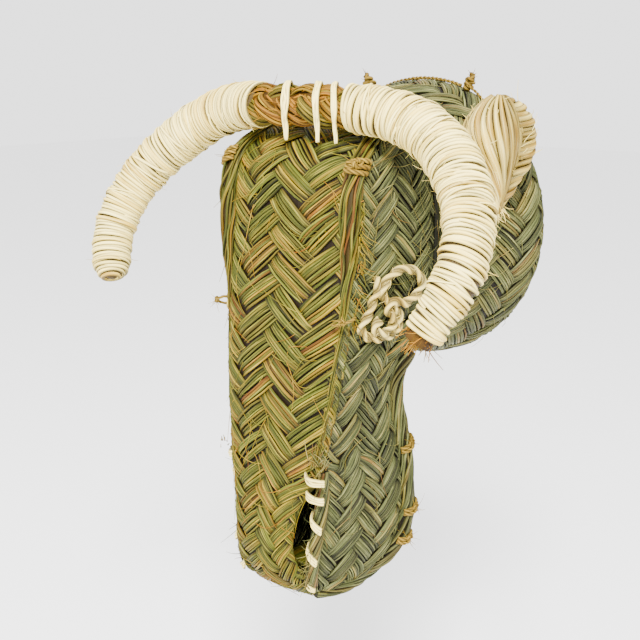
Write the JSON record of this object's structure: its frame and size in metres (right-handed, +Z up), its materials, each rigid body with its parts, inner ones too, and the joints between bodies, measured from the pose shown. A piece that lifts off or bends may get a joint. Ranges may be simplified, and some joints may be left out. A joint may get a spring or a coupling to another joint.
{
  "type": "wall-hung plaited goat head",
  "caption": "Horned goat head for a wall: plaited esparto bands sewn into a hollow muzzle and neck, with raffia-wrapped horns, upright ears, cord eyes and mouth slits.",
  "frame": {"origin": "centre of the neck rim, in the plane of the wall", "axes": "+Y into the wall, so the face looks along -Y; +Z up; +X to the animal's left"},
  "size_m": [0.3216, 0.2077, 0.3485],
  "materials": {
    "plait_face": "plaited esparto, yellow-green with golden and brown blades",
    "plait_side": "plaited esparto, grey-green",
    "plait_bar": "plaited esparto, golden brown",
    "raffia": "pale raffia, satin",
    "twine": "tan esparto twine"
  },
  "bodies": {
    "root": {"bar_stitch_1": "raffia", "bar_stitch_2": "raffia", "bar_stitch_3": "raffia", "brow_tie_left_1": "twine", "brow_tie_left_2": "twine", "brow_tie_right_1": "twine", "brow_tie_right_2": "twine", "chin_pad": "plait_face", "collar_seam": "plait_side", "corner_roll_left": "plait_face", "corner_roll_right": "plait_face", "ear_left": "raffia", "ear_right": "raffia", "eye_left": "raffia", "eye_right": "raffia", "front_band": "plait_face", "hanging_knot_left": "twine", "hanging_knot_right": "twine", "hanging_twine": "twine", "horn_core": "plait_bar", "horn_wrap_left": "raffia", "horn_wrap_right": "raffia", "mouth_lip_left": "plait_side", "mouth_lip_right": "plait_side", "mouth_stitch_left_1": "raffia", "mouth_stitch_left_2": "raffia", "mouth_stitch_left_3": "raffia", "mouth_stitch_left_4": "raffia", "mouth_stitch_left_5": "raffia", "mouth_stitch_right_1": "raffia", "mouth_stitch_right_2": "raffia", "mouth_stitch_right_3": "raffia", "mouth_stitch_right_4": "raffia", "mouth_stitch_right_5": "raffia", "neck_band": "plait_side", "seam_roll_left": "plait_side", "seam_roll_right": "plait_side", "seam_tie_left_1": "twine", "seam_tie_left_2": "twine", "seam_tie_left_3": "twine", "seam_tie_right_1": "twine", "seam_tie_right_2": "twine", "seam_tie_right_3": "twine", "side_band_left": "plait_side", "side_band_right": "plait_side", "throat_band": "plait_side"}
  },
  "joints": []
}
